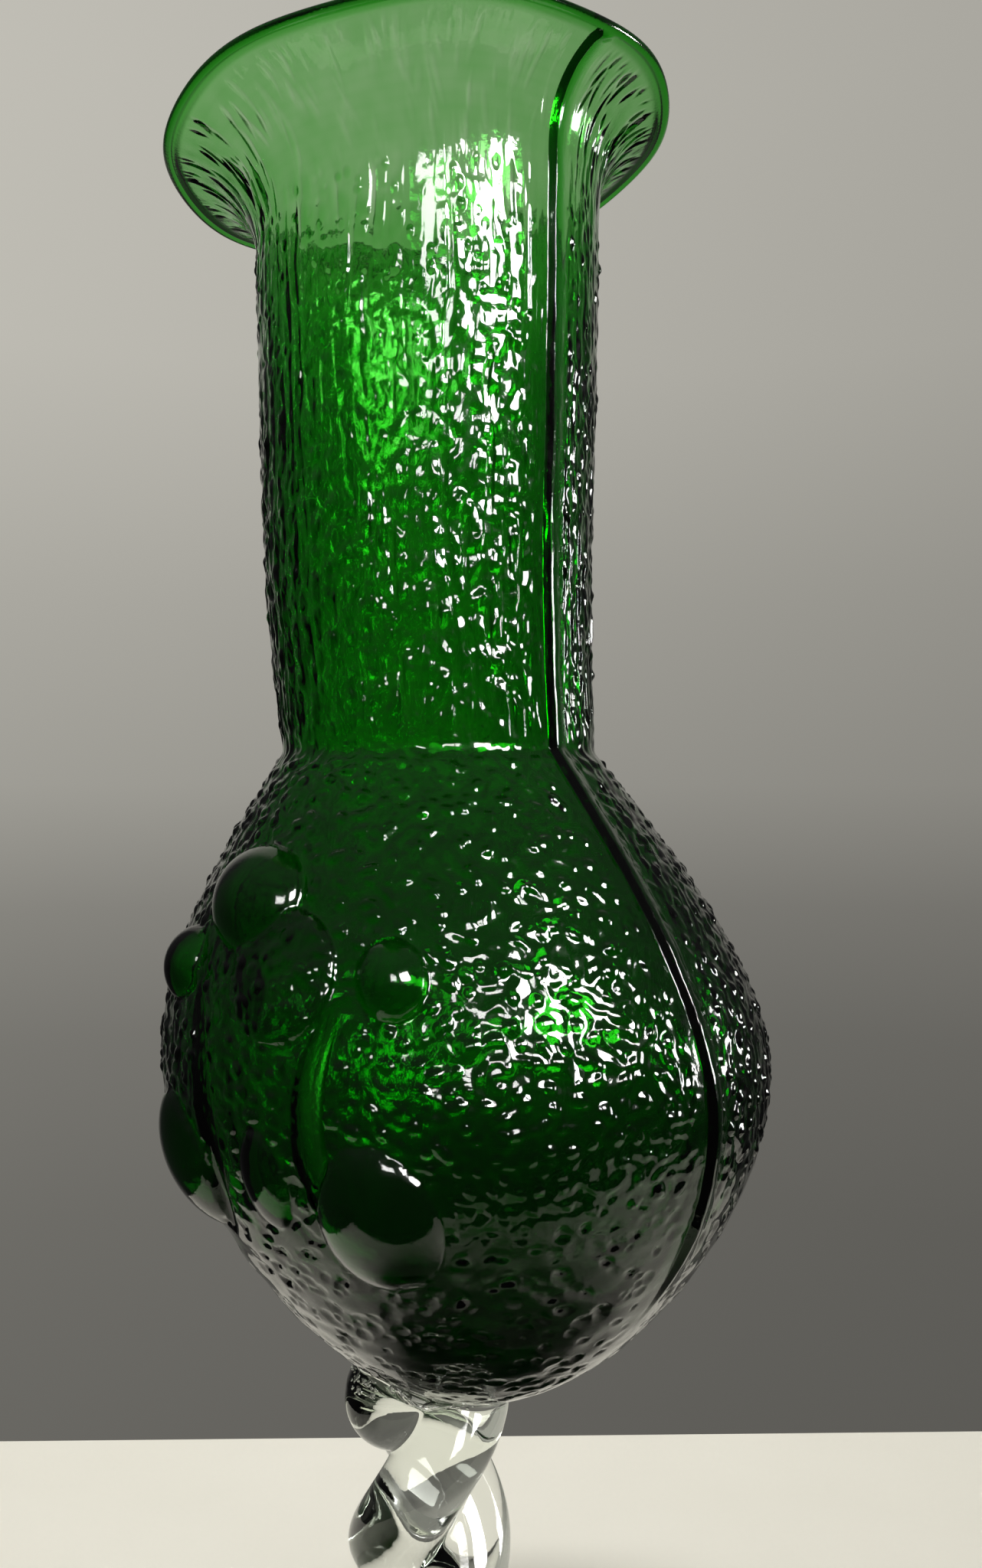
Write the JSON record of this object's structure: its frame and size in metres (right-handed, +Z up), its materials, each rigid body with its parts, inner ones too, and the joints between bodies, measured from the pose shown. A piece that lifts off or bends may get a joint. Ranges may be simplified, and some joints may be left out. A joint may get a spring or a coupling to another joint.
{
  "type": "glass vase",
  "caption": "Tall glass vase with a flared lip, textured green neck and bulb with raised bosses and mould seams, on a clear twisted stem and round foot.",
  "frame": {"origin": "centre of the foot's flat underside, on the axis of the stem", "axes": "+Z up along the stem, -Y towards the viewer of the picture, +X to the viewer's right; the bulb sits 15 mm to +X of the stem's axis at its foot"},
  "size_m": [0.1929, 0.1929, 0.5198],
  "materials": {
    "green_glass": "glossy, moulded bark texture outside, smooth inside",
    "clear_glass": "glossy, hot-worked, with a few bubbles"
  },
  "bodies": {
    "root": {"blown_vessel": "green_glass", "joint_gather": "clear_glass", "twisted_stem": "clear_glass", "cast_foot": "clear_glass"}
  },
  "joints": []
}
